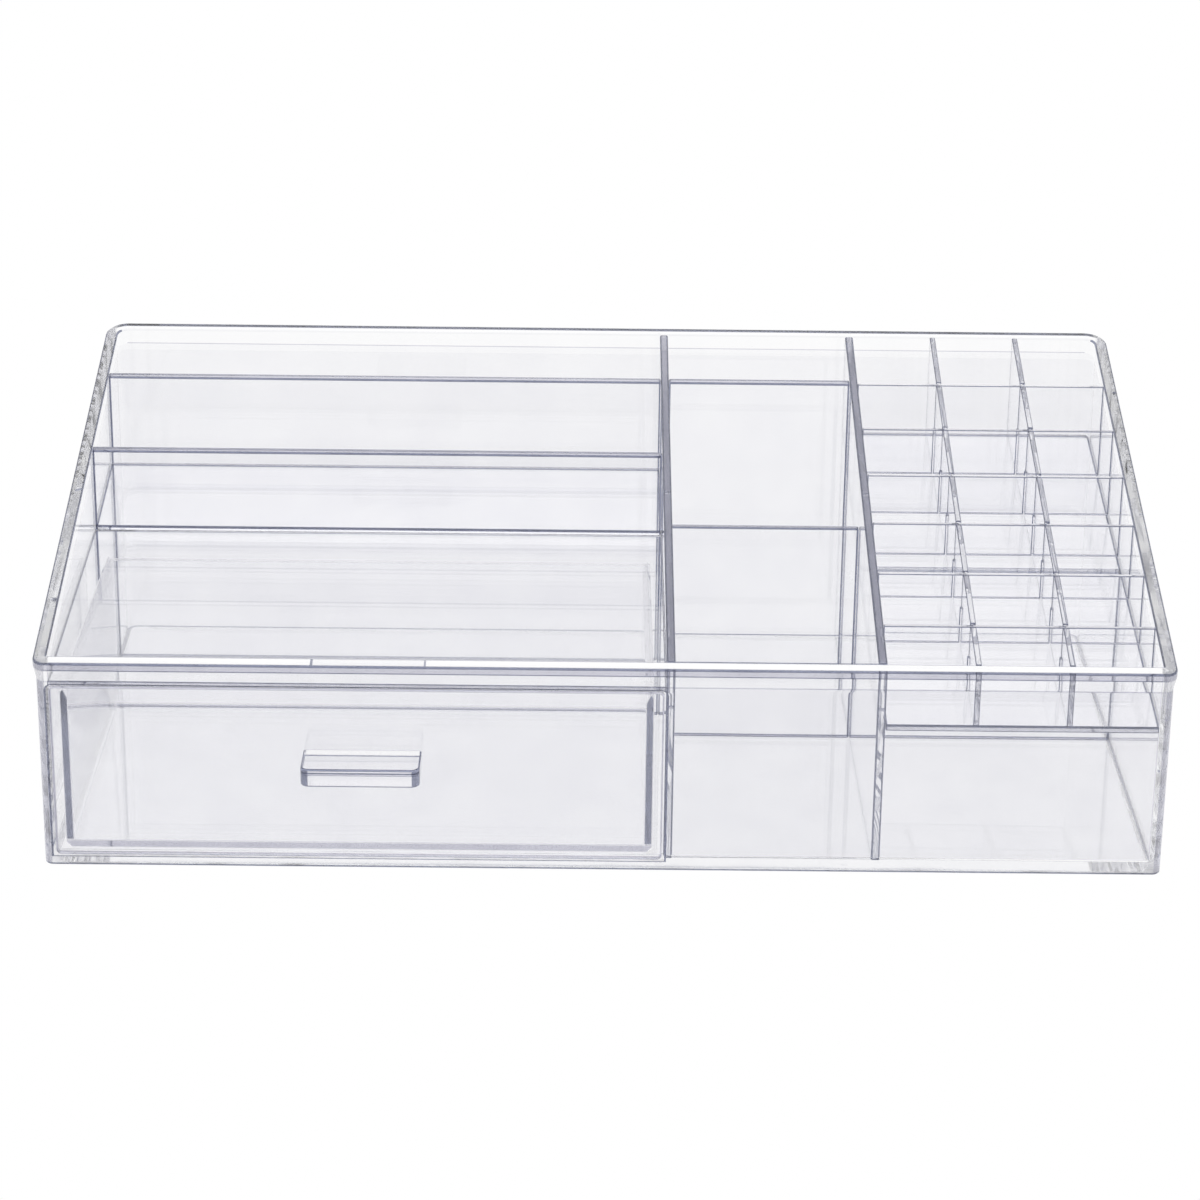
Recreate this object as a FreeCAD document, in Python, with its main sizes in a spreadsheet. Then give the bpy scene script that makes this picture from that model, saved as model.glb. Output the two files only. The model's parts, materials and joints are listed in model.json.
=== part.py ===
import FreeCAD, Part
import math
import os
import Sketcher

# Clear vanity organizer: a low case with a sloping rim, palette slots over one drawer on the left,
# an open bin in the middle and a lipstick grid on the right. Millimetres, +Z up, front towards -Y,
# origin under the middle of the whole.

doc = FreeCAD.newDocument("vanity_organizer")
sheet = doc.addObject("Spreadsheet::Sheet", "Sizes")


class Size:
    """A length with its number and the spreadsheet expression that gives it."""

    def __init__(self, number, text):
        self.number = float(number)
        self.text = text

    def __add__(self, other):
        other = as_size(other)
        return Size(self.number + other.number, f"({self.text} + {other.text})")

    def __sub__(self, other):
        other = as_size(other)
        return Size(self.number - other.number, f"({self.text} - {other.text})")

    def __mul__(self, other):
        other = as_size(other)
        return Size(self.number * other.number, f"({self.text} * {other.text})")

    def __truediv__(self, other):
        other = as_size(other)
        return Size(self.number / other.number, f"({self.text} / {other.text})")


def as_size(value):
    """A plain number as a Size, and a Size as it is."""
    if isinstance(value, Size):
        return value
    return Size(value, str(value))


sheet_rows = []


def size(alias, number, meaning):
    """Writes one driving dimension into the sheet and returns it."""
    sheet_rows.append(alias)
    row = len(sheet_rows)
    sheet.set(f"A{row}", meaning)
    sheet.set(f"B{row}", str(number))
    sheet.setAlias(f"B{row}", alias)
    return Size(number, f"Sizes.{alias}")


# Case
case_width = size("case_width", 320, "width over the side walls")
case_depth = size("case_depth", 178, "depth over the front and back walls")
front_height = size("front_height", 63, "rim height at the front face")
back_height = size("back_height", 106.8, "rim height at the back face")
wall = size("wall", 3, "outer wall thickness")
base_thickness = size("base_thickness", 3, "base plate thickness")
rear_corner = size("rear_corner", 6, "outside radius of the rear upright corners")
corner_return = size("corner_return", 10, "how far the back wall wraps round each side")
front_corner = size("front_corner", 2.5, "outside radius of the front upright corners")
base_edge = size("base_edge", 1.5, "rounding of the lower edge of the base")
lip_reach = size("lip_reach", 0.8, "how far the rim lip stands out")
lip_height = size("lip_height", 2.2, "height of the rim lip")

# Sections and what divides them
bay_width = size("bay_width", 174.2, "clear width of the drawer bay")
bin_width = size("bin_width", 57, "clear width of the middle bin")
partition = size("partition", 2.6, "thickness of the two long partitions")
divider = size("divider", 2.6, "thickness of the cross dividers")
rear_slot = size("rear_slot", 25.7, "clear depth of the rear slots")
palette_slot = size("palette_slot", 38.8, "clear depth of the palette slot")
bin_rear = size("bin_rear", 54.8, "clear depth of the rear half of the bin")
bin_divider_top = size("bin_divider_top", 72, "top of the middle cross wall")
floor_plate = size("floor_plate", 2, "thickness of the raised floors")
tray_front = size("tray_front", 56.8, "tray floor at the front wall")
tray_back = size("tray_back", 63.4, "tray floor at the wall behind the drawer")
palette_front = size("palette_front", 63.9, "palette floor at the wall behind the drawer")
palette_back = size("palette_back", 71, "palette floor at the rear divider")

# Lipstick grid
COLUMNS = 3
ROWS = 7
grid = size("grid", 1.75, "thickness of the grid dividers")
front_cell = size("front_cell", 17.6, "clear depth of the front lipstick cells")
rear_cell = size("rear_cell", 26.7, "clear depth of the rear lipstick cells")
grid_floor_front = size("grid_floor_front", 45.5, "grid floor at the front wall")
grid_floor_back = size("grid_floor_back", 74, "grid floor at the back wall")
halving_play = size("halving_play", 0.1, "play on each side of a halving slot")

# Drawer
opening_top = size("opening_top", 55.8, "top of the drawer opening")
drawer_play = size("drawer_play", 0.4, "running clearance round the drawer")
drawer_glide = size("drawer_glide", 0.2, "clearance under the sliding edges of the drawer")
drawer_recess = size("drawer_recess", 0.3, "drawer face behind the front face")
drawer_panel = size("drawer_panel", 2.5, "thickness of the drawer front")
drawer_wall = size("drawer_wall", 2.4, "thickness of the drawer box")
drawer_corner = size("drawer_corner", 1.5, "corner radius of the drawer front and its opening")
side_inset = size("side_inset", 2.8, "drawer side behind the edge of its front")
drawer_lift = size("drawer_lift", 1.8, "underside of the drawer floor above the base")
floor_chamfer = size("floor_chamfer", 1.6, "chamfer under the drawer floor")
outer_bevel = size("outer_bevel", 1, "width of the bevel outside a drawer side's top")
outer_bevel_drop = size("outer_bevel_drop", 1.5, "height of that outside bevel")
inner_bevel_drop = size("inner_bevel_drop", 3.1, "height of the bevel inside a drawer side's top")
pull_width = size("pull_width", 33.5, "width of the pull")
pull_depth = size("pull_depth", 14, "reach of the pull from the drawer face")
pull_height = size("pull_height", 5.5, "thickness of the pull")
pull_z = size("pull_z", 31.5, "underside of the pull")
pull_shift = size("pull_shift", 1.5, "pull to the right of the drawer's middle")
pull_corner = size("pull_corner", 2.5, "radius of the pull's outer corners")
pull_edge = size("pull_edge", 0.6, "rounding of the pull's edges")

# Places in the case, from its left, front and lower faces
zero = as_size(0)
bay_left = wall
bay_right = bay_left + bay_width
bin_left = bay_right + partition
bin_right = bin_left + bin_width
grid_left = bin_right + partition
grid_right = case_width - wall
grid_width = grid_right - grid_left
inner_back = case_depth - wall
rear_divider_y = inner_back - rear_slot - divider
palette_divider_y = rear_divider_y - palette_slot - divider
bin_divider_y = rear_divider_y - bin_rear - divider
column_pitch = (grid_width + grid) / COLUMNS
first_row_y = wall + front_cell
row_pitch = (inner_back - rear_cell - grid - first_row_y) / (ROWS - 2)
origin_x = case_width / 2
origin_y = (case_depth + lip_reach + drawer_recess - pull_depth) / 2

# Places of the drawer
drawer_left = bay_left + drawer_play
drawer_right = bay_right - drawer_play
drawer_low = base_thickness + drawer_glide
box_left = drawer_left + side_inset
box_right = drawer_right - side_inset
box_front = drawer_recess + drawer_panel
box_back = palette_divider_y - drawer_play - drawer_wall
box_low = base_thickness + drawer_lift
box_floor = box_low + drawer_wall
box_top = tray_front - floor_plate - drawer_play

NEAR = 0.001


def same(a, b):
    """Whether two numbers are the same place."""
    return abs(a - b) < NEAR


def rim_at(y):
    """Height of the sloping rim at a depth."""
    return front_height + (back_height - front_height) * y / case_depth


def grid_floor_at(y):
    """Height of the lipstick floor at a depth."""
    return grid_floor_front + (grid_floor_back - grid_floor_front) * (y - wall) / (inner_back - wall)


def new_body(label, x=zero, y=zero, z=zero):
    """A body whose own origin lies at x, y, z of the case."""
    body = doc.addObject("PartDesign::Body", label)
    body.Label = label
    place = {"x": x - origin_x, "y": y - origin_y, "z": z}
    for axis, where in place.items():
        body.setExpression(f"Placement.Base.{axis}", where.text)
    return body


def arc_end(corner, other):
    """Where the arc of a rounded corner meets the level or upright side towards another corner."""
    u, v, radius = corner
    if same(u.number, other[0].number):
        return (u, v + radius) if other[1].number > v.number else (u, v - radius)
    return (u + radius, v) if other[0].number > u.number else (u - radius, v)


def corner_arc(start, end, corner):
    """The arc from start to end round a corner, and whether it turns to the left."""
    points = [FreeCAD.Vector(place[0].number, place[1].number, 0) for place in (start, end, corner)]
    begin, finish, tip = points
    middle = begin + finish - tip
    leftwards = (tip - begin).cross(finish - tip).z > 0
    spokes = [begin - middle, finish - middle]
    if not leftwards:
        spokes.reverse()
    angles = [math.atan2(spoke.y, spoke.x) for spoke in spokes]
    circle = Part.Circle(middle, FreeCAD.Vector(0, 0, 1), corner[2].number)
    return Part.ArcOfCircle(circle, *angles), leftwards


def outline(body, plane, name, corners):
    """A closed outline on one of the body's planes, every corner tied to the sheet.

    A corner with a third value is rounded by that radius.
    """
    sketch = body.newObject("Sketcher::SketchObject", name)
    planes = [item for item in body.Origin.OriginFeatures if item.Role == plane]
    sketch.AttachmentSupport = [(planes[0], "")]
    sketch.MapMode = "FlatFace"
    path = []
    for index, corner in enumerate(corners):
        if len(corner) == 2:
            path.append((corner, None))
        else:
            following = corners[(index + 1) % len(corners)]
            path.append((arc_end(corner, corners[index - 1]), corner))
            path.append((arc_end(corner, following), None))
    starts = []
    ends = []
    for index, (start, corner) in enumerate(path):
        end = path[(index + 1) % len(path)][0]
        leftwards = True
        if corner is None:
            points = [FreeCAD.Vector(u.number, v.number, 0) for u, v in (start, end)]
            piece = Part.LineSegment(*points)
        else:
            piece, leftwards = corner_arc(start, end, corner)
        sketch.addGeometry(piece)
        starts.append((index, 1 if leftwards else 2))
        ends.append((index, 2 if leftwards else 1))
    for index, (start, corner) in enumerate(path):
        sketch.addConstraint(Sketcher.Constraint("Coincident", *ends[index - 1], *starts[index]))
        for kind, length in zip(("DistanceX", "DistanceY"), start):
            constraint = Sketcher.Constraint(kind, -1, 1, *starts[index], length.number)
            number = sketch.addConstraint(constraint)
            sketch.setExpression(f"Constraints[{number}]", length.text)
        if corner is not None:
            number = sketch.addConstraint(Sketcher.Constraint("Radius", index, corner[2].number))
            sketch.setExpression(f"Constraints[{number}]", corner[2].text)
    return sketch


def pad(body, sketch, name, length, backwards=False):
    """Pads an outline by a length off its plane."""
    feature = body.newObject("PartDesign::Pad", name)
    feature.Profile = sketch
    feature.setExpression("Length", length.text)
    feature.Reversed = backwards


def pocket(body, sketch, name, length, backwards=False):
    """Cuts an outline by a length off its plane."""
    feature = body.newObject("PartDesign::Pocket", name)
    feature.Profile = sketch
    feature.setExpression("Length", length.text)
    feature.Reversed = backwards


def fillet(body, name, radius, wanted):
    """Rounds the edges of the body's tip that a test picks by their box."""
    doc.recompute()
    base = body.Tip
    numbered = enumerate(base.Shape.Edges, start=1)
    names = [f"Edge{number}" for number, edge in numbered if wanted(edge.BoundBox)]
    feature = body.newObject("PartDesign::Fillet", name)
    feature.Base = (base, names)
    feature.setExpression("Radius", radius.text)


def base_plate():
    """Base with rounded corners and a rounded lower edge."""
    body = new_body("base_plate")
    corners = [
        (zero, zero, front_corner),
        (case_width, zero, front_corner),
        (case_width, case_depth, rear_corner),
        (zero, case_depth, rear_corner),
    ]
    pad(body, outline(body, "XY_Plane", "base_outline", corners), "base_pad", base_thickness)
    fillet(body, "lower_edge", base_edge, lambda box: same(box.ZMax, 0))


def side_wall(label, x, lip_on_left):
    """Flat side wall between the front frame and the back wall, with its lip along the rim."""
    near = wall
    far = case_depth - corner_return
    rim = [(far, rim_at(far)), (near, rim_at(near))]
    body = new_body(label, x)
    upright = [(near, base_thickness), (far, base_thickness)]
    lip = [(near, rim_at(near) - lip_height), (far, rim_at(far) - lip_height)]
    pad(body, outline(body, "YZ_Plane", "wall_outline", upright + rim), "wall_pad", wall)
    reach = lip_reach if lip_on_left else wall + lip_reach
    pad(body, outline(body, "YZ_Plane", "lip_outline", lip + rim), "lip_pad", reach, lip_on_left)


def lipped_wall(label, near, far, plan):
    """End wall with a lip along its rim, from its plan with and without the lip.

    The body's own origin lies at the outside of the lip, at the depth near and on top of the base.
    """
    body = new_body(label, zero - lip_reach, near, base_thickness)
    across = case_width + lip_reach * 2
    deep = far - near
    near_rim = rim_at(near) - base_thickness
    far_rim = rim_at(far) - base_thickness
    under = [(zero, zero), (deep, zero), (deep, far_rim - lip_height), (zero, near_rim - lip_height)]
    over = [(zero, near_rim), (deep, far_rim), (deep, far_rim + lip_height), (zero, far_rim + lip_height)]
    pad(body, outline(body, "XY_Plane", "lip_outline", plan(lip_reach)), "lip_pad", far_rim)
    pocket(body, outline(body, "YZ_Plane", "under_lip", under), "under_lip_cut", across, True)
    pad(body, outline(body, "XY_Plane", "wall_outline", plan(zero)), "wall_pad", far_rim)
    pocket(body, outline(body, "YZ_Plane", "over_rim", over), "over_rim_cut", across, True)
    return body


def back_wall():
    """Rear wall that wraps round both rear corners."""

    def plan(reach):
        left = lip_reach - reach
        right = lip_reach + case_width + reach
        back = corner_return + reach
        inner_left = lip_reach + wall
        inner_right = lip_reach + case_width - wall
        inner = corner_return - wall
        return [
            (left, zero),
            (inner_left, zero),
            (inner_left, inner, rear_corner - wall),
            (inner_right, inner, rear_corner - wall),
            (inner_right, zero),
            (right, zero),
            (right, back, rear_corner + reach),
            (left, back, rear_corner + reach),
        ]

    lipped_wall("back_wall", case_depth - corner_return, case_depth + lip_reach, plan)


def front_frame():
    """Front wall with its corner posts and a beam over the drawer opening."""

    def plan(reach):
        left = lip_reach - reach
        right = lip_reach + case_width + reach
        back = lip_reach + wall
        return [
            (left, left, front_corner + reach),
            (right, left, front_corner + reach),
            (right, back),
            (left, back),
        ]

    body = lipped_wall("front_frame", zero - lip_reach, wall, plan)
    high = opening_top - base_thickness
    opening = [
        (lip_reach + bay_left, zero),
        (lip_reach + bay_right, zero),
        (lip_reach + bay_right, high, drawer_corner),
        (lip_reach + bay_left, high, drawer_corner),
    ]
    through = lip_reach + wall
    pocket(body, outline(body, "XZ_Plane", "drawer_opening", opening), "drawer_opening_cut", through)


def long_partition(label, x):
    """Partition from front to back, with its top on the slope of the rim."""
    body = new_body(label, x)
    corners = [
        (wall, base_thickness),
        (inner_back, base_thickness),
        (inner_back, rim_at(inner_back)),
        (wall, rim_at(wall)),
    ]
    pad(body, outline(body, "YZ_Plane", "partition_outline", corners), "partition_pad", partition)


def cross_wall(label, x, width, y, top_at):
    """Wall on the base across a section, with its top at the height of a surface over it."""
    body = new_body(label, x)
    back = y + divider
    corners = [(y, base_thickness), (back, base_thickness), (back, top_at(back)), (y, top_at(y))]
    pad(body, outline(body, "YZ_Plane", "cross_outline", corners), "cross_pad", width)


def raised_floor(label, x, width, near, far, near_top, far_top):
    """Sloping floor plate between two cross walls."""
    body = new_body(label, x)
    corners = [
        (near, near_top - floor_plate),
        (far, far_top - floor_plate),
        (far, far_top),
        (near, near_top),
    ]
    pad(body, outline(body, "YZ_Plane", "floor_outline", corners), "floor_pad", width)


def row_front(number):
    """Front face of a row divider."""
    return first_row_y + row_pitch * number


def row_base(number):
    """Lower edge of a row divider, on the high side of the floor under it."""
    return grid_floor_at(row_front(number) + grid)


def halving_height(number):
    """Where a row divider and a column divider meet, halfway up."""
    return (row_base(number) + rim_at(row_front(number))) / 2


def lipstick_column(number):
    """Long grid divider, notched from above for each row divider."""
    body = new_body(f"lipstick_column_{number + 1}", grid_left + column_pitch * (number + 1) - grid)
    corners = [(inner_back, rim_at(inner_back))]
    for row in reversed(range(ROWS - 1)):
        near = row_front(row) - halving_play
        far = row_front(row) + grid + halving_play
        corners.append((far, rim_at(far)))
        corners.append((far, halving_height(row)))
        corners.append((near, halving_height(row)))
        corners.append((near, rim_at(near)))
    corners.append((wall, rim_at(wall)))
    corners.append((wall, grid_floor_at(wall)))
    corners.append((inner_back, grid_floor_at(inner_back)))
    pad(body, outline(body, "YZ_Plane", "column_outline", corners), "column_pad", grid)


def lipstick_row(number):
    """Short grid divider, notched from below for each column divider."""
    body = new_body(f"lipstick_row_{number + 1}", grid_left, row_front(number))
    low = row_base(number)
    high = rim_at(row_front(number))
    corners = [(zero, low)]
    for column in range(1, COLUMNS):
        right = column_pitch * column + halving_play
        left = right - grid - halving_play * 2
        corners.append((left, low))
        corners.append((left, halving_height(number)))
        corners.append((right, halving_height(number)))
        corners.append((right, low))
    corners.append((grid_width, low))
    corners.append((grid_width, high))
    corners.append((zero, high))
    pad(body, outline(body, "XZ_Plane", "row_outline", corners), "row_pad", grid, True)


def drawer_front():
    """Clear front panel that fills the opening, with rounded corners."""
    body = new_body("drawer_front", drawer_left, drawer_recess, drawer_low)
    width = drawer_right - drawer_left
    height = opening_top - drawer_play - drawer_low
    corners = [
        (zero, zero, drawer_corner),
        (width, zero, drawer_corner),
        (width, height, drawer_corner),
        (zero, height, drawer_corner),
    ]
    pad(body, outline(body, "XZ_Plane", "panel_outline", corners), "panel_pad", drawer_panel, True)


def drawer_side(label, x, left_bevel, left_drop, right_drop):
    """Drawer side whose top is bevelled on both sides to a ridge."""
    body = new_body(label, x, box_front)
    corners = [
        (zero, box_floor),
        (drawer_wall, box_floor),
        (drawer_wall, box_top - right_drop),
        (left_bevel, box_top),
        (zero, box_top - left_drop),
    ]
    length = box_back - box_front
    pad(body, outline(body, "XZ_Plane", "side_outline", corners), "side_pad", length, True)


def drawer_floor():
    """Drawer floor with chamfered lower edges."""
    body = new_body("drawer_floor", box_left, box_front, box_low)
    width = box_right - box_left
    corners = [
        (floor_chamfer, zero),
        (width - floor_chamfer, zero),
        (width, floor_chamfer),
        (width, drawer_wall),
        (zero, drawer_wall),
        (zero, floor_chamfer),
    ]
    length = box_back - box_front
    pad(body, outline(body, "XZ_Plane", "floor_outline", corners), "floor_pad", length, True)


def drawer_back():
    """Drawer back, which slides on the base with its lower edge."""
    body = new_body("drawer_back", box_left, box_back, drawer_low)
    width = box_right - box_left
    height = box_top - outer_bevel_drop - drawer_low
    corners = [(zero, zero), (width, zero), (width, height), (zero, height)]
    pad(body, outline(body, "XZ_Plane", "back_outline", corners), "back_pad", drawer_wall, True)


def drawer_pull():
    """Solid block pull with rounded outer corners and soft edges."""
    middle = (drawer_left + drawer_right) / 2 + pull_shift
    body = new_body("drawer_pull", middle - pull_width / 2, drawer_recess - pull_depth, pull_z)
    corners = [
        (zero, zero, pull_corner),
        (pull_width, zero, pull_corner),
        (pull_width, pull_depth),
        (zero, pull_depth),
    ]
    pad(body, outline(body, "XY_Plane", "pull_outline", corners), "pull_pad", pull_height)

    def soft(box):
        return same(box.ZLength, 0) and box.YMin < pull_depth.number - NEAR

    fillet(body, "soft_edges", pull_edge, soft)


base_plate()
side_wall("left_wall", zero, True)
side_wall("right_wall", case_width - wall, False)
back_wall()
front_frame()
long_partition("bay_partition", bay_right)
long_partition("lipstick_partition", bin_right)

cross_wall("palette_rear_divider", bay_left, bay_width, rear_divider_y, rim_at)
cross_wall("palette_front_divider", bay_left, bay_width, palette_divider_y, rim_at)
cross_wall("bin_rear_divider", bin_left, bin_width, rear_divider_y, rim_at)
cross_wall("bin_front_divider", bin_left, bin_width, bin_divider_y, lambda y: bin_divider_top)
cross_wall("lipstick_support", grid_left, grid_width, bin_divider_y, lambda y: grid_floor_at(y) - floor_plate)

raised_floor("tray_floor", bay_left, bay_width, wall, palette_divider_y, tray_front, tray_back)
palette_near = palette_divider_y + divider
raised_floor("palette_floor", bay_left, bay_width, palette_near, rear_divider_y, palette_front, palette_back)
raised_floor("lipstick_floor", grid_left, grid_width, wall, inner_back, grid_floor_front, grid_floor_back)
for column_number in range(COLUMNS - 1):
    lipstick_column(column_number)
for row_number in range(ROWS - 1):
    lipstick_row(row_number)

drawer_front()
drawer_side("drawer_left_side", box_left, outer_bevel, outer_bevel_drop, inner_bevel_drop)
inner_bevel = drawer_wall - outer_bevel
drawer_side("drawer_right_side", box_right - drawer_wall, inner_bevel, inner_bevel_drop, outer_bevel_drop)
drawer_floor()
drawer_back()
drawer_pull()
doc.recompute()

for item in doc.Objects:
    if "Invalid" in item.State or "Error" in item.State:
        raise RuntimeError(f"{item.Label} did not build: {item.State}")
bodies = [item for item in doc.Objects if item.TypeId == "PartDesign::Body"]
for body in bodies:
    if body.Shape.isNull() or not body.Shape.isValid():
        raise RuntimeError(f"{body.Label} has no valid shape")
    if len(body.Shape.Solids) != 1:
        raise RuntimeError(f"{body.Label} has {len(body.Shape.Solids)} solids")

os.makedirs("parts", exist_ok=True)
for body in bodies:
    body.Shape.exportStep(f"parts/{body.Label}.step")
    box = body.Shape.BoundBox
    corners = [box.XMin, box.YMin, box.ZMin, box.XMax, box.YMax, box.ZMax]
    print(body.Label, round(body.Shape.Volume), [round(value, 2) for value in corners])
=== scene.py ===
import json
import math

import bmesh
import bpy
from mathutils import Matrix, Vector

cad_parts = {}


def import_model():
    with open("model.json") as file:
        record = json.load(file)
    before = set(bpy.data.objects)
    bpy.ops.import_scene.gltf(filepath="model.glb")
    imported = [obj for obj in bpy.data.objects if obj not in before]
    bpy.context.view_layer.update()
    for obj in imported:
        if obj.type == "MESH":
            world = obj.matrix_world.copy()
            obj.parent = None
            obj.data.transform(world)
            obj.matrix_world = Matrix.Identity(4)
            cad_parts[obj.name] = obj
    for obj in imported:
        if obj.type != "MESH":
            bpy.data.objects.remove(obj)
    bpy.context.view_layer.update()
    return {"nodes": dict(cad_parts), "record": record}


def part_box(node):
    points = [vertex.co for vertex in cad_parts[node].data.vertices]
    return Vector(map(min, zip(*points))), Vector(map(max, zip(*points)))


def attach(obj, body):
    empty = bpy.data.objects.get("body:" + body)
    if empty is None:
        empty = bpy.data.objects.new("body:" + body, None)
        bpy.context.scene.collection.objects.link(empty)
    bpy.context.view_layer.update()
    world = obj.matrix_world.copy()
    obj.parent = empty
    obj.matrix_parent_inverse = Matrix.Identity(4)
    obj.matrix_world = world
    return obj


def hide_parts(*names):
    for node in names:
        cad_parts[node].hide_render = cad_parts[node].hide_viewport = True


# Clear moulded vanity organizer: a seamless tub, rounded dividers inside it, and a sliding drawer.
# Lengths are metres in the frame of the part, front towards -Y.

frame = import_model()

MM = 0.001

# Tub
WALL = 3.0 * MM
FRONT_CORNER = 2.5 * MM
REAR_CORNER = 6.0 * MM
BASE_EDGE = 0.8 * MM
BASE_FILLET = 1.3 * MM
LIP_HEIGHT = 2.2 * MM
COVE_HEIGHT = 3.6 * MM

# Widths of the tub's lines of painted shade, the band of painted highlight inside below the cove and the
# satin ring under it
LINE = 0.3 * MM
TOP_LINE = 1.2 * MM
INNER_BAND = 1.0 * MM
FOOT = 4.0 * MM

# Drawer opening
OPENING_CORNER = 1.5 * MM
OPENING_EDGE = 0.5 * MM
OPENING_REACH = 0.3 * MM
OPENING_PLAY = 0.4 * MM
SILL_DROP = 0.2 * MM

# Edges of the pieces, and the hair gap between pieces
EDGE = 0.5 * MM
FINE_EDGE = 0.25 * MM
GAP = 0.03 * MM

# Steps in a quarter round
CORNER_STEPS = 12
BASE_EDGE_STEPS = 5
RIM_STEPS = 4
FILLET_STEPS = 6
OPENING_STEPS = 6
BEVEL_STEPS = 3

# Points nearer than the first are one point, faces within the next angle are one face, and edges past
# the last angle are sharp
WELD = 0.001 * MM
FLAT_ANGLE = math.radians(0.5)
SHARP_ANGLE = math.radians(35)

# Share of a face's normal along a direction from which the face is square to it, faces it or leans to it
SQUARE = 0.99
FACING = 0.9
SIDE_LEAN = 0.15
FRONT_LEAN = 0.1
UPRIGHT_LEAN = 0.01

# Finishes by material slot: the piece's own plastic, painted shade for dark edge lines, a lighter painted
# shade, painted highlight in untinted plastic, and satin
PANE, PAINTED_SHADE, PAINTED_HALF_SHADE, PAINTED_HIGHLIGHT, SATIN = range(5)

# Which pieces have which finish: painted shade on the tops of partitions and dividers and on the drawer's
# front ends, and none on the edges of the drawer's sides, floor and back
SHELL_NODES = ("base_plate", "left_wall", "right_wall", "back_wall", "front_frame")
PAINTED_SHADE_TOPS = ("partition", "divider")
PALE_EDGES = ("drawer_left_side", "drawer_right_side", "drawer_floor", "drawer_back")
FINE_EDGES = ("tray_floor", "lipstick_column", "lipstick_row")
PAINTED_SHADE_ENDS = {"drawer_left_side": PAINTED_SHADE, "drawer_right_side": PAINTED_SHADE, "drawer_floor": PAINTED_HALF_SHADE}

# Camera: lens and sensor in millimetres, angles in degrees
LENS = 105.0
SENSOR = 36.0
CAMERA_TURN = -0.209
CAMERA_TILT = 21.669
CAMERA_ROLL = 0.657
CAMERA_X = -5.03 * MM
CAMERA_AHEAD = 904.16 * MM
CAMERA_HEIGHT = 442.64 * MM
CAMERA_NEAR = 0.05

# Studio: the floor is dim up to one depth and white from another, and the backdrop fades with its direction
FLOOR_REACH = 12.0
FLOOR_DROP = 0.2 * MM
FLOOR_DIM = -0.8
FLOOR_WHITE = -0.35
BACKDROP_AIM = (0, 0.866, -0.5)
BACKDROP_DIM = -0.45
BACKDROP_WHITE = 0.2


def clear_plastic(name, pale, deep, haze_roughness):
    """Moulded clear plastic: pale lavender, with faint clouding and handling haze, also made dark for
    painted shade and white for painted highlight.
    """
    material = bpy.data.materials.new(name)
    material.use_nodes = True
    nodes = material.node_tree.nodes
    links = material.node_tree.links
    shader = nodes["Principled BSDF"]
    shader.inputs["Transmission Weight"].default_value = 1.0
    shader.inputs["IOR"].default_value = 1.5

    place = nodes.new("ShaderNodeTexCoord")
    haze = nodes.new("ShaderNodeTexNoise")
    haze.inputs["Scale"].default_value = 60.0
    haze.inputs["Detail"].default_value = 6.0
    links.new(place.outputs["Object"], haze.inputs["Vector"])

    tint = nodes.new("ShaderNodeValToRGB")
    tint.color_ramp.elements[0].position = 0.3
    tint.color_ramp.elements[0].color = deep
    tint.color_ramp.elements[1].position = 0.7
    tint.color_ramp.elements[1].color = pale
    links.new(haze.outputs["Fac"], tint.inputs["Fac"])
    links.new(tint.outputs["Color"], shader.inputs["Base Color"])

    gloss = nodes.new("ShaderNodeMapRange")
    gloss.inputs["From Min"].default_value = 0.35
    gloss.inputs["From Max"].default_value = 0.75
    gloss.inputs["To Min"].default_value = 0.0
    gloss.inputs["To Max"].default_value = haze_roughness
    links.new(haze.outputs["Fac"], gloss.inputs["Value"])
    links.new(gloss.outputs["Result"], shader.inputs["Roughness"])
    return material


SHELL_PLASTIC = clear_plastic("clear_shell", (0.93, 0.93, 0.945, 1), (0.9, 0.9, 0.92, 1), 0.03)
PANE_PLASTIC = clear_plastic("clear_pane", (0.985, 0.985, 0.99, 1), (0.965, 0.965, 0.975, 1), 0.03)
# Painted shade: dark plastic on edges, standing in for the dark lines that refraction draws along clear
# edges
PAINTED_SHADE_PLASTIC = clear_plastic("clear_painted_shade", (0.1, 0.11, 0.18, 1), (0.06, 0.07, 0.12, 1), 0.05)
# Lighter painted shade: half-dark plastic on the lip, the dividers' tops, the front posts, the drawer
# front's edges and the drawer floor's front end
PAINTED_HALF_SHADE_PLASTIC = clear_plastic("clear_painted_half_shade", (0.52, 0.52, 0.61, 1), (0.42, 0.42, 0.5, 1), 0.05)
# Painted highlight: untinted plastic, lighter than the shell, on the cove, the rim's top, the band inside
# it and the side lips
PAINTED_HIGHLIGHT_PLASTIC = clear_plastic("clear_painted_highlight", (1.0, 1.0, 1.0, 1), (0.985, 0.985, 0.99, 1), 0.03)
SATIN_PLASTIC = clear_plastic("clear_foot", (1.0, 1.0, 1.0, 1), (0.985, 0.985, 0.99, 1), 0.8)


def new_mesh(name, bm, plastic):
    """A mesh in a plastic, with the other finishes in the next slots: painted shade, lighter painted shade,
    painted highlight and satin.
    """
    mesh = bpy.data.meshes.new(name)
    bm.to_mesh(mesh)
    bm.free()
    for material in (plastic, PAINTED_SHADE_PLASTIC, PAINTED_HALF_SHADE_PLASTIC, PAINTED_HIGHLIGHT_PLASTIC, SATIN_PLASTIC):
        mesh.materials.append(material)
    return mesh


def finish_piece(name, mesh, body, nodes):
    """Links a smooth mesh as a piece that stands for CAD nodes."""
    piece = bpy.data.objects.new(name, mesh)
    bpy.context.scene.collection.objects.link(piece)
    mesh.shade_smooth()
    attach(piece, body)
    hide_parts(*nodes)
    return piece


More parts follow.
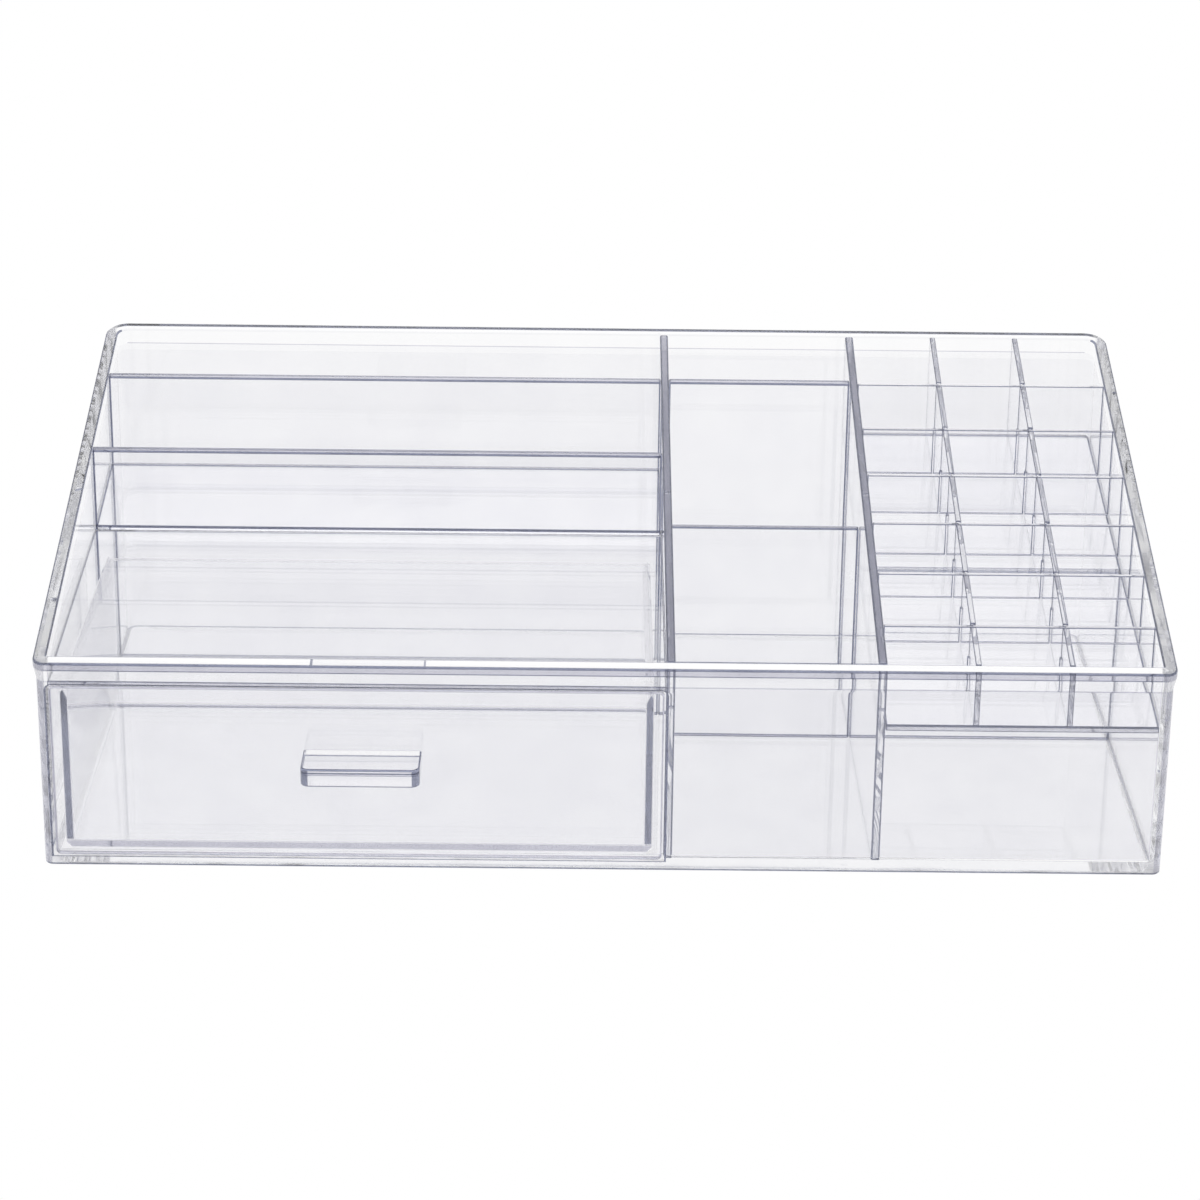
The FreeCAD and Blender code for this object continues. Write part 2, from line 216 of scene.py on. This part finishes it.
def round_edges(piece, edge, edge_finish):
    """Rounds a piece's sharp edges, in a finish that is painted shade on most pieces."""
    rounding = piece.modifiers.new("Rounded edges", "BEVEL")
    rounding.width = edge
    rounding.segments = BEVEL_STEPS
    rounding.limit_method = "ANGLE"
    rounding.angle_limit = SHARP_ANGLE
    rounding.material = edge_finish


def keep_flat(piece):
    """Shades flat faces flat between rounded edges."""
    flats = piece.modifiers.new("Flat faces", "WEIGHTED_NORMAL")
    flats.mode = "FACE_AREA"
    flats.weight = 100
    flats.keep_sharp = True


def is_rounding(normal):
    """Whether a face is square to no axis."""
    return max(abs(value) for value in normal) < SQUARE


def face_finish(node, normal):
    """Finish of a face: the pull's roundings, the dividers' tops and the drawer's ends get painted shade.
    """
    if node == "drawer_pull":
        return PAINTED_SHADE if is_rounding(normal) else PANE
    if normal.z > FACING and node.endswith(PAINTED_SHADE_TOPS):
        return PAINTED_HALF_SHADE
    if normal.y < -FACING and node in PAINTED_SHADE_ENDS:
        return PAINTED_SHADE_ENDS[node]
    return PANE


def edge_style(node):
    """Rounding of a piece's edges and their finish: painted shade, lighter on the drawer front, and the
    plain plastic on the drawer's other pieces.
    """
    if node in PALE_EDGES:
        return FINE_EDGE, PANE
    if node == "drawer_front":
        return EDGE, PAINTED_HALF_SHADE
    return (FINE_EDGE if node.startswith(FINE_EDGES) else EDGE), PAINTED_SHADE


def solid_copy(node):
    """The node's solid with its flat faces whole, drawn in by a hair so that no two pieces touch."""
    bm = bmesh.new()
    bm.from_mesh(frame["nodes"][node].data)
    bmesh.ops.remove_doubles(bm, verts=bm.verts, dist=WELD)
    bmesh.ops.dissolve_limit(bm, angle_limit=FLAT_ANGLE, verts=bm.verts, edges=bm.edges)
    bm.normal_update()
    moves = {}
    for vert in bm.verts:
        normals = []
        for face in vert.link_faces:
            if all(face.normal.dot(other) < FACING for other in normals):
                normals.append(face.normal.copy())
        moves[vert] = sum(normals, Vector())
    for vert, move in moves.items():
        vert.co -= move * GAP
    for face in bm.faces:
        face.material_index = face_finish(node, face.normal)
    return new_mesh(node, bm, PANE_PLASTIC)


left, front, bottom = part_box("base_plate")[0]
right, back, base_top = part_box("base_plate")[1]
frame_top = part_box("front_frame")[1]
wall_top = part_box("left_wall")[1]
lip_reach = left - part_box("left_wall")[0].x
rim_slope = (wall_top.z - frame_top.z) / (wall_top.y - frame_top.y)
rim_front = frame_top.z - rim_slope * (frame_top.y - front)


def rim(y):
    """Height of the sloping rim at a depth."""
    return rim_front + rim_slope * (y - front)


def arc(steps):
    """Angles of a quarter round, from 0 to 90 degrees."""
    return [math.radians(90 * step / steps) for step in range(steps + 1)]


def corner(middle_u, middle_v, radius, start, steps):
    """Points of a quarter round about a middle, from a starting angle in degrees."""
    points = []
    for turn in arc(steps):
        angle = math.radians(start) + turn
        points.append((middle_u + radius * math.cos(angle), middle_v + radius * math.sin(angle)))
    return points


def skin(loops, finishes):
    """A closed body through loops of points: strips between them, each in its finish, and two caps."""
    bm = bmesh.new()
    rings = [[bm.verts.new(point) for point in loop] for loop in loops]
    for near, far, finish in zip(rings, rings[1:], finishes):
        count = len(near)
        for index in range(count):
            after = (index + 1) % count
            face = bm.faces.new((near[index], near[after], far[after], far[index]))
            face.material_index = finish
    bm.faces.new(list(reversed(rings[0])))
    bm.faces.new(rings[-1])
    bmesh.ops.recalc_face_normals(bm, faces=bm.faces)
    return bm


def plan(offset):
    """Points round the case in plan, the outer faces moved outwards by an offset."""
    corners = (
        (left - offset, front - offset, FRONT_CORNER, 180),
        (right + offset, front - offset, FRONT_CORNER, 270),
        (right + offset, back + offset, REAR_CORNER, 0),
        (left - offset, back + offset, REAR_CORNER, 90),
    )
    points = []
    for x, y, radius, start in corners:
        radius = max(radius + offset, EDGE)
        middle_x = x + radius if x < 0 else x - radius
        middle_y = y + radius if y < 0 else y - radius
        points += corner(middle_x, middle_y, radius, start, CORNER_STEPS)
    return points


def quarter(steps, place, finish, after):
    """Profile points of a quarter round in a finish, the last one with the finish of the strip after it."""
    turns = arc(steps)
    return [(*place(turn), finish) for turn in turns[:-1]] + [(*place(turns[-1]), after)]


def tub_profile():
    """Up the outside, over the rim and down the inside: offset, height, depth under the rim in place
    of a height, and the finish of the strip that follows."""
    cove_low = LIP_HEIGHT + COVE_HEIGHT

    def base_edge(turn):
        return BASE_EDGE * (math.sin(turn) - 1), bottom + BASE_EDGE * (1 - math.cos(turn)), None

    def outer_rim(turn):
        return lip_reach - EDGE * (1 - math.cos(turn)), None, EDGE * (1 - math.sin(turn))

    def inner_rim(turn):
        return EDGE * (1 - math.sin(turn)) - WALL, None, EDGE * (1 - math.cos(turn))

    def base_fillet(turn):
        height = base_top + BASE_FILLET * (1 - math.sin(turn))
        return BASE_FILLET * (math.cos(turn) - 1) - WALL, height, None

    # Painted shade: dark lines on the base edge, the lip's lower edge and the rim's roundings, lighter
    # along the wall under the cove and over the lip's face; painted highlight on the cove, the rim's top
    # and the band inside
    profile = [(-FOOT, bottom, None, SATIN)]
    profile += quarter(BASE_EDGE_STEPS, base_edge, PAINTED_SHADE, PANE)
    profile.append((0, None, cove_low + LINE, PAINTED_HALF_SHADE))
    profile.append((0, None, cove_low, PAINTED_HIGHLIGHT))
    profile.append((lip_reach, None, LIP_HEIGHT, PAINTED_SHADE))
    profile.append((lip_reach, None, LIP_HEIGHT - LINE, PAINTED_HALF_SHADE))
    profile += quarter(RIM_STEPS, outer_rim, PAINTED_SHADE, PAINTED_HIGHLIGHT)
    profile.append((lip_reach - EDGE - TOP_LINE, None, 0, PAINTED_HIGHLIGHT))
    profile += quarter(RIM_STEPS, inner_rim, PAINTED_SHADE, PAINTED_HIGHLIGHT)
    profile.append((-WALL, None, cove_low + INNER_BAND, PANE))
    profile += quarter(FILLET_STEPS, base_fillet, PANE, PANE)
    return profile


def shell_finish(face):
    """A shell face's own finish, but with painted shade on the front posts, painted highlight on the side
    lips and one line of painted shade at the back.
    """
    normal = face.normal
    middle = face.calc_center_median()
    if middle.y < 0 and abs(normal.z) < UPRIGHT_LEAN and is_rounding(normal):
        return PAINTED_HALF_SHADE
    if face.material_index == PAINTED_HALF_SHADE and normal.x * middle.x > 0 and abs(normal.x) > SIDE_LEAN:
        return PAINTED_HIGHLIGHT
    if normal.z > FACING and middle.y > back + lip_reach - EDGE - TOP_LINE:
        return PAINTED_SHADE
    if face.material_index == PAINTED_SHADE and normal.y < -FRONT_LEAN and middle.y > back - WALL - EDGE:
        return PANE
    return face.material_index


def tub():
    """Base and four walls as one moulded shell with a flared rim."""
    loops = []
    finishes = []
    for offset, height, under_rim, finish in tub_profile():
        loop = []
        for x, y in plan(offset):
            z = height if under_rim is None else rim(y) - under_rim
            loop.append((x, y, z))
        loops.append(loop)
        finishes.append(finish)
    bm = skin(loops, finishes)
    for face in bm.faces:
        face.material_index = shell_finish(face)
    return new_mesh("case_shell", bm, SHELL_PLASTIC)


def opening_outline(flare):
    """The drawer opening from the front, a little larger than the drawer, its sides and top moved out."""
    radius = OPENING_CORNER + flare
    x0 = left + WALL - OPENING_REACH - flare
    x1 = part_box("bay_partition")[0].x + OPENING_REACH + flare
    z0 = base_top - SILL_DROP
    z1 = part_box("drawer_front")[1].z + OPENING_PLAY + flare
    outline = [(x0, z0), (x1, z0)]
    outline += corner(x1 - radius, z1 - radius, radius, 0, OPENING_STEPS)
    outline += corner(x0 + radius, z1 - radius, radius, 90, OPENING_STEPS)
    return outline


def opening_cutter():
    """Block of the drawer opening, with painted shade on the bevel round its front edge."""
    stations = (
        (front - 2 * WALL, OPENING_EDGE, PANE),
        (front, OPENING_EDGE, PAINTED_SHADE),
        (front + OPENING_EDGE, 0, PANE),
        (front + WALL + 2 * BASE_FILLET, 0, PANE),
    )
    loops = []
    finishes = []
    for y, flare, finish in stations:
        loops.append([(x, y, z) for x, z in opening_outline(flare)])
        finishes.append(finish)
    mesh = new_mesh("drawer_opening", skin(loops, finishes), SHELL_PLASTIC)
    return bpy.data.objects.new("drawer_opening", mesh)


def cut_opening(mesh):
    """The shell's mesh with the drawer opening cut through its front."""
    shell = bpy.data.objects.new("shell_blank", mesh)
    cutter = opening_cutter()
    for item in (shell, cutter):
        bpy.context.scene.collection.objects.link(item)
    cut = shell.modifiers.new("Drawer opening", "BOOLEAN")
    cut.operation = "DIFFERENCE"
    cut.solver = "EXACT"
    cut.object = cutter
    bpy.context.view_layer.update()
    evaluated = shell.evaluated_get(bpy.context.evaluated_depsgraph_get())
    result = bpy.data.meshes.new_from_object(evaluated)
    result.name = "case_shell"
    for item in (shell, cutter):
        bpy.data.objects.remove(item)
    return result


keep_flat(finish_piece("case_shell", cut_opening(tub()), "case", SHELL_NODES))
for body in ("case", "drawer"):
    for node in frame["record"]["behaviour"]["bodies"][body]:
        if node not in SHELL_NODES:
            piece = finish_piece(f"{node}_clear", solid_copy(node), body, [node])
            round_edges(piece, *edge_style(node))
            keep_flat(piece)


def studio_fade(nodes, links, value, dim, white):
    """Colour from the studio's grey side to its white side, as a value goes from dim to white."""
    spread = nodes.new("ShaderNodeMapRange")
    spread.inputs["From Min"].default_value = dim
    spread.inputs["From Max"].default_value = white
    links.new(value, spread.inputs["Value"])
    fade = nodes.new("ShaderNodeValToRGB")
    fade.color_ramp.elements[0].color = (0.5, 0.5, 0.56, 1)
    fade.color_ramp.elements[1].color = (1, 1, 1, 1)
    links.new(spread.outputs["Result"], fade.inputs["Fac"])
    return fade.outputs["Color"]


def floor():
    """Bright seamless floor under and behind the object, dimmer far in front of it."""
    bm = bmesh.new()
    bmesh.ops.create_grid(bm, x_segments=1, y_segments=1, size=FLOOR_REACH)
    mesh = bpy.data.meshes.new("floor")
    bm.to_mesh(mesh)
    bm.free()
    plane = bpy.data.objects.new("floor", mesh)
    plane.location.z = bottom - FLOOR_DROP
    bpy.context.scene.collection.objects.link(plane)
    material = bpy.data.materials.new("floor_white")
    material.use_nodes = True
    nodes = material.node_tree.nodes
    links = material.node_tree.links
    shader = nodes["Principled BSDF"]
    shader.inputs["Base Color"].default_value = (0.0, 0.0, 0.0, 1)
    shader.inputs["Roughness"].default_value = 1.0
    shader.inputs["Specular IOR Level"].default_value = 0.0
    shader.inputs["Emission Strength"].default_value = 1.0
    place = nodes.new("ShaderNodeTexCoord")
    split = nodes.new("ShaderNodeSeparateXYZ")
    links.new(place.outputs["Object"], split.inputs["Vector"])
    glow = studio_fade(nodes, links, split.outputs["Y"], FLOOR_DIM, FLOOR_WHITE)
    links.new(glow, shader.inputs["Emission Color"])
    mesh.materials.append(material)


def soft_light(name, place, aim, size, power):
    """A soft square light aimed at a point."""
    lamp = bpy.data.lights.new(name, "AREA")
    lamp.size = size
    lamp.energy = power
    light = bpy.data.objects.new(name, lamp)
    bpy.context.scene.collection.objects.link(light)
    light.location = place
    light.rotation_euler = (Vector(aim) - Vector(place)).to_track_quat("-Z", "Y").to_euler()


def camera():
    """Camera at the photo's place and angle."""
    lens = bpy.data.cameras.new("photo_camera")
    lens.lens = LENS
    lens.sensor_width = SENSOR
    lens.clip_start = CAMERA_NEAR
    view = bpy.data.objects.new("photo_camera", lens)
    bpy.context.scene.collection.objects.link(view)
    turn = Matrix.Rotation(math.radians(CAMERA_TURN), 4, "Z")
    tilt = Matrix.Rotation(math.radians(90 - CAMERA_TILT), 4, "X")
    roll = Matrix.Rotation(math.radians(CAMERA_ROLL), 4, "Z")
    place = Matrix.Translation((CAMERA_X, front - CAMERA_AHEAD, CAMERA_HEIGHT))
    view.matrix_world = place @ turn @ tilt @ roll
    bpy.context.scene.camera = view


def world():
    """White backdrop behind and beside the object, dimmer overhead and behind the camera."""
    sky = bpy.data.worlds.new("studio")
    sky.use_nodes = True
    nodes = sky.node_tree.nodes
    links = sky.node_tree.links
    place = nodes.new("ShaderNodeTexCoord")
    aim = nodes.new("ShaderNodeVectorMath")
    aim.operation = "DOT_PRODUCT"
    aim.inputs[1].default_value = BACKDROP_AIM
    links.new(place.outputs["Generated"], aim.inputs[0])
    glow = studio_fade(nodes, links, aim.outputs["Value"], BACKDROP_DIM, BACKDROP_WHITE)
    links.new(glow, nodes["Background"].inputs["Color"])
    nodes["Background"].inputs["Strength"].default_value = 1.0
    bpy.context.scene.world = sky


floor()
camera()
world()
soft_light("top_light", place=(0.1, 0.5, 1.8), aim=(0, 0, 0), size=3.0, power=12)

scene = bpy.context.scene
scene.view_settings.view_transform = "Standard"
scene.cycles.max_bounces = 128
scene.cycles.transmission_bounces = 96
scene.cycles.glossy_bounces = 96
